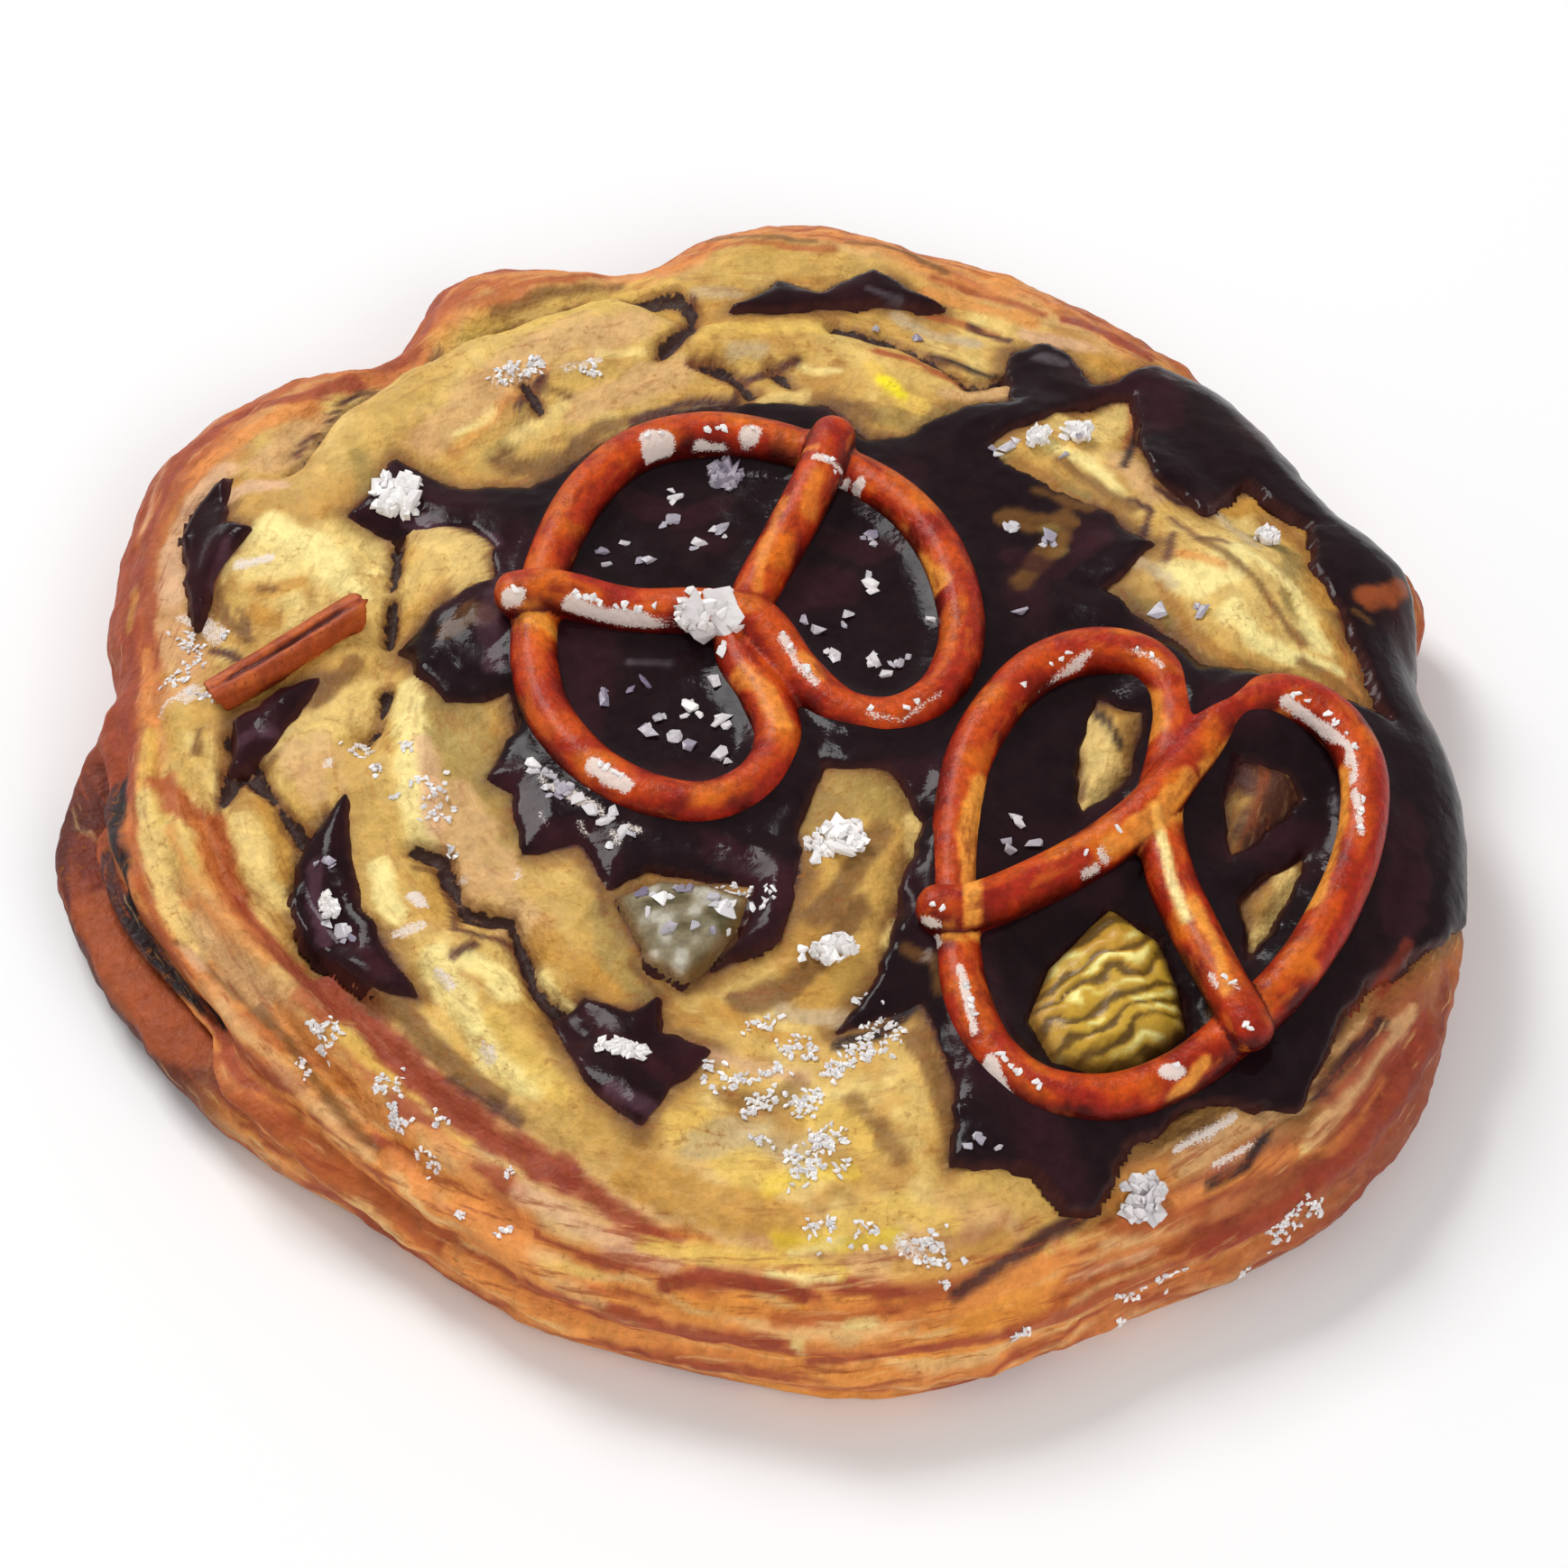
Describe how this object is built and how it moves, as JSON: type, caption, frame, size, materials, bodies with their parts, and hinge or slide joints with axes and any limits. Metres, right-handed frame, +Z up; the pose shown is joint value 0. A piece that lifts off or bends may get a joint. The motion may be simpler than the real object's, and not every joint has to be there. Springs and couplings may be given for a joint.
{
  "type": "pretzel cookie",
  "caption": "Thick round cookie with a rippled rim, melted dark chocolate, small twisted pretzels pressed into its top, and flakes of salt.",
  "frame": {"origin": "centre of the cookie on the surface it rests on", "axes": "+Z up out of the decorated top, -Y towards the viewer of the picture, +X to the right"},
  "size_m": [0.1102, 0.1172, 0.02],
  "materials": {
    "crust": "dull baked dough, pale gold on top and orange-brown at the rim",
    "chocolate": "glossy melted dark chocolate, nearly black",
    "pretzel": "glossy orange-red lye-dipped crust",
    "pretzel_stick": "satin red-brown crust",
    "toffee": "satin yellow with brown stripes",
    "nut": "dull grey-olive",
    "salt": "white, slightly translucent flakes"
  },
  "bodies": {
    "root": {"dough": "crust", "chocolate_pool": "chocolate", "chocolate_left": "chocolate", "chocolate_front": "chocolate", "chocolate_rim": "chocolate", "chocolate_streak": "chocolate", "chocolate_back": "chocolate", "lump_yellow": "toffee", "lump_grey": "nut", "pretzel_1": "pretzel", "pretzel_2": "pretzel", "pretzel_stick": "pretzel_stick"}
  },
  "joints": []
}
